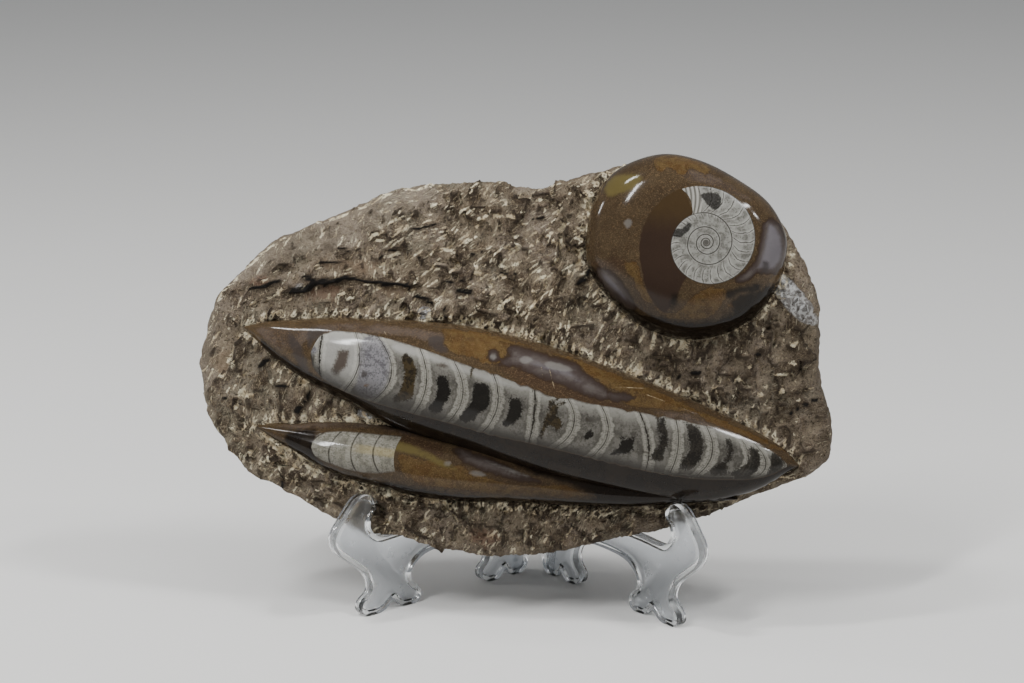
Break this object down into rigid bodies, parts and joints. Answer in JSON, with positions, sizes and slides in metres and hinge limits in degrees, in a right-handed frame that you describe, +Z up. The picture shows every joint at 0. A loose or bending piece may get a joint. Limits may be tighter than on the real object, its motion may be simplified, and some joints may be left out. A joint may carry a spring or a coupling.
{
  "type": "fossil plaque on an easel",
  "caption": "Carved limestone slab with polished straight and coiled fossils in relief, leaning on a clear folding plastic easel.",
  "frame": {"origin": "centre of the footprint of the whole object, on the surface that the easel's toes stand on", "axes": "+X to the viewer's right along the slab, +Y away from the viewer, towards the easel's hinge, +Z up"},
  "size_m": [0.2352, 0.0812, 0.1679],
  "materials": {
    "limestone": "brown limestone, chiselled ground and gloss-polished relief",
    "shell_calcite": "gloss-polished pale calcite with dark chambers",
    "clear_plastic": "clear moulded plastic, glossy"
  },
  "bodies": {
    "root": {"limestone_slab": "limestone", "large_orthoceras": "shell_calcite", "small_orthoceras": "shell_calcite", "goniatite": "shell_calcite", "stand_left": "clear_plastic", "stand_right": "clear_plastic"}
  },
  "joints": []
}
